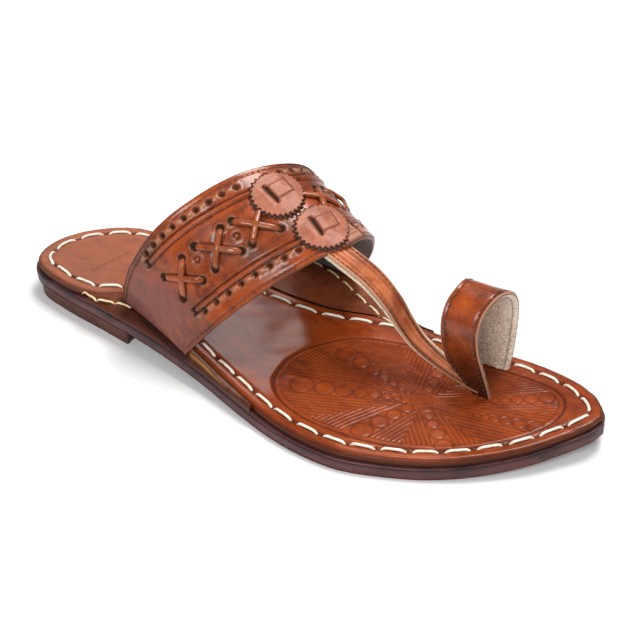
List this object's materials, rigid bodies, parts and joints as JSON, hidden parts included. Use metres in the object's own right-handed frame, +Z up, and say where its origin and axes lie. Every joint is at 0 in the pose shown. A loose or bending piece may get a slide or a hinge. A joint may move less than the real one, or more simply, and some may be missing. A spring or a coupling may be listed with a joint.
{
  "type": "kolhapuri sandal",
  "caption": "Flat open leather sandal for the right foot: tooled insole, wide instep band with laced trim and pinked discs, toe strap and big-toe ring.",
  "frame": {"origin": "on the floor under the middle of the sandal's box", "axes": "+Y towards the toe, +Z up, +X towards the outer side of the foot (it is a right shoe)"},
  "size_m": [0.1114, 0.266, 0.0781],
  "materials": {
    "upper_leather": "gloss",
    "insole_leather": "gloss",
    "sole_leather": "satin",
    "heel_leather": "satin"
  },
  "bodies": {
    "root": {"outsole": "sole_leather", "heel_lift": "heel_leather", "insole": "insole_leather", "ear_lateral": "sole_leather", "ear_medial": "sole_leather", "upper": "upper_leather", "rosette_rear": "upper_leather", "rosette_front": "upper_leather"}
  },
  "joints": []
}
